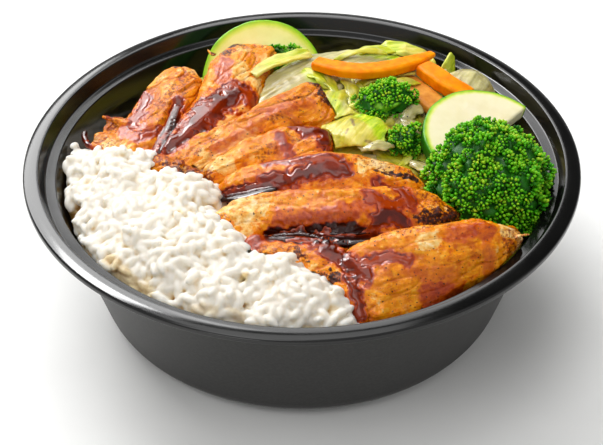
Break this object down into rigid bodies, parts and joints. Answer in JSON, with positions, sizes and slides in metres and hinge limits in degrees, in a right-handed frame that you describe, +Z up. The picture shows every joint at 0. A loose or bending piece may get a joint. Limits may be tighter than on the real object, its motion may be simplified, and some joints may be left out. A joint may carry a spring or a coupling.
{
  "type": "teriyaki chicken bowl",
  "caption": "Round black takeaway bowl filled with rice, sliced glazed chicken, broccoli, zucchini, carrot, cabbage and onion; a meal that rests on the bowl's foot.",
  "frame": {"origin": "middle of the bowl's underside, at the height of its foot", "axes": "+Z up out of the bowl; +X to the right and +Y away from the side with the rice and the front slices"},
  "size_m": [0.185, 0.185, 0.0726],
  "materials": {
    "black_plastic": "satin",
    "cooked_rice": "moist",
    "glazed_chicken": "glazed",
    "zucchini": "moist",
    "broccoli": "moist",
    "carrot": "moist",
    "cabbage": "moist",
    "onion": "moist"
  },
  "bodies": {
    "root": {"bowl": "black_plastic", "rice": "cooked_rice", "cabbage": "cabbage", "chicken_1": "glazed_chicken", "chicken_2": "glazed_chicken", "chicken_3": "glazed_chicken", "chicken_4": "glazed_chicken", "chicken_5": "glazed_chicken", "chicken_6": "glazed_chicken", "chicken_7": "glazed_chicken", "chicken_8": "glazed_chicken", "broccoli_large": "broccoli", "broccoli_middle": "broccoli", "broccoli_low": "broccoli", "broccoli_back": "broccoli", "zucchini_front": "zucchini", "zucchini_back": "zucchini", "carrot_long": "carrot", "carrot_short": "carrot", "carrot_pale": "carrot", "cabbage_strip": "cabbage", "cabbage_shred": "cabbage", "cabbage_leaf_low": "cabbage", "cabbage_leaf_middle": "cabbage", "cabbage_leaf_back": "cabbage", "cabbage_leaf_tip": "cabbage", "onion_band": "onion", "onion_grey": "onion"}
  },
  "joints": []
}
